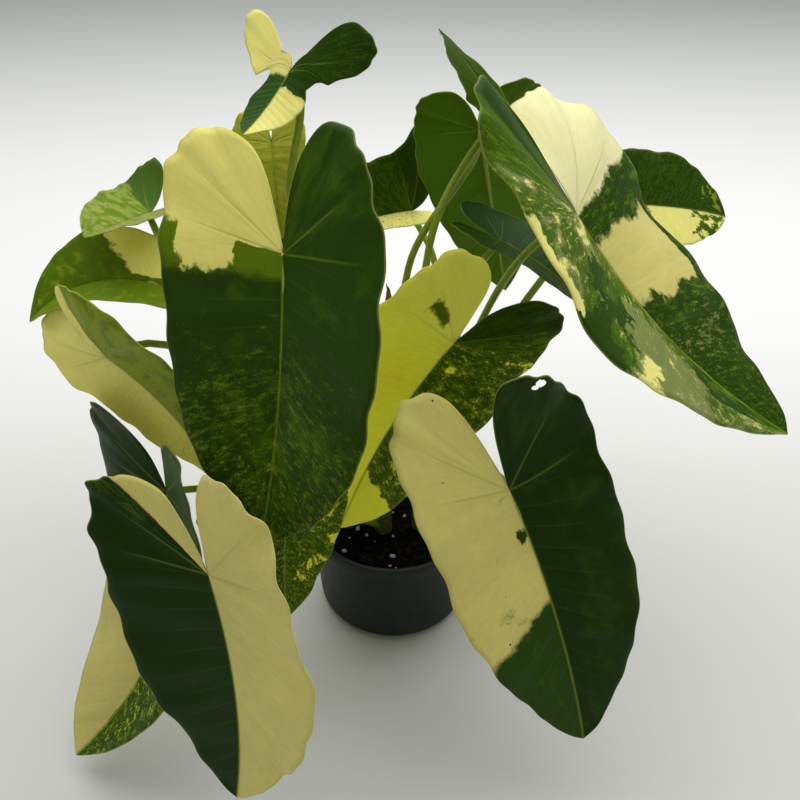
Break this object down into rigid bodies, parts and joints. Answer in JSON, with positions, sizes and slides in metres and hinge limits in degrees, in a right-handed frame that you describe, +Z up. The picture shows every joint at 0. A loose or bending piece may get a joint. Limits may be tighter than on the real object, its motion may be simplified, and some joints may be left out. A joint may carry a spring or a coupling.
{
  "type": "potted philodendron",
  "caption": "Variegated philodendron in a round nursery pot of soil, with long heart-based leaves in dark green and cream on tall arching petioles.",
  "frame": {"origin": "centre of the pot's underside, where it stands", "axes": "+Z up along the pot's axis, -Y towards the front of the plant, +X to the right seen from the front"},
  "size_m": [0.3893, 0.3146, 0.3637],
  "materials": {
    "pot_plastic": "matte black",
    "potting_soil": "granular, with white perlite",
    "stem_bark": "green, slightly rough",
    "dry_sheath": "dry brown",
    "petiole_green": "semi-gloss green",
    "leaf_variegated": "glossy dark green with cream sectors",
    "leaf_yellow": "glossy yellow-green"
  },
  "bodies": {
    "root": {"pot": "pot_plastic", "soil": "potting_soil", "front_stem": "stem_bark", "left_stem": "stem_bark", "right_stem": "stem_bark", "back_stem": "stem_bark", "dried_sheath": "dry_sheath", "front_left_petiole": "petiole_green", "centre_petiole": "petiole_green", "low_centre_petiole": "petiole_green", "low_left_petiole": "petiole_green", "left_cream_petiole": "petiole_green", "left_green_petiole": "petiole_green", "left_small_petiole": "petiole_green", "front_right_petiole": "petiole_green", "under_right_petiole": "petiole_green", "right_petiole": "petiole_green", "yellow_petiole": "petiole_green", "back_rolled_petiole": "petiole_green", "back_right_petiole": "petiole_green", "back_centre_petiole": "petiole_green", "back_petiole": "petiole_green", "top_yellow_petiole": "petiole_green", "top_petiole": "petiole_green", "front_left_leaf": "leaf_variegated", "centre_leaf": "leaf_variegated", "low_centre_leaf": "leaf_variegated", "low_left_leaf": "leaf_variegated", "left_cream_leaf": "leaf_variegated", "left_green_leaf": "leaf_variegated", "left_small_leaf": "leaf_variegated", "front_right_leaf": "leaf_variegated", "under_right_leaf": "leaf_variegated", "right_leaf": "leaf_variegated", "yellow_leaf": "leaf_yellow", "back_rolled_leaf": "leaf_variegated", "back_right_leaf": "leaf_variegated", "back_centre_leaf": "leaf_variegated", "back_leaf": "leaf_variegated", "top_yellow_leaf": "leaf_yellow", "top_leaf": "leaf_variegated"}
  },
  "joints": []
}
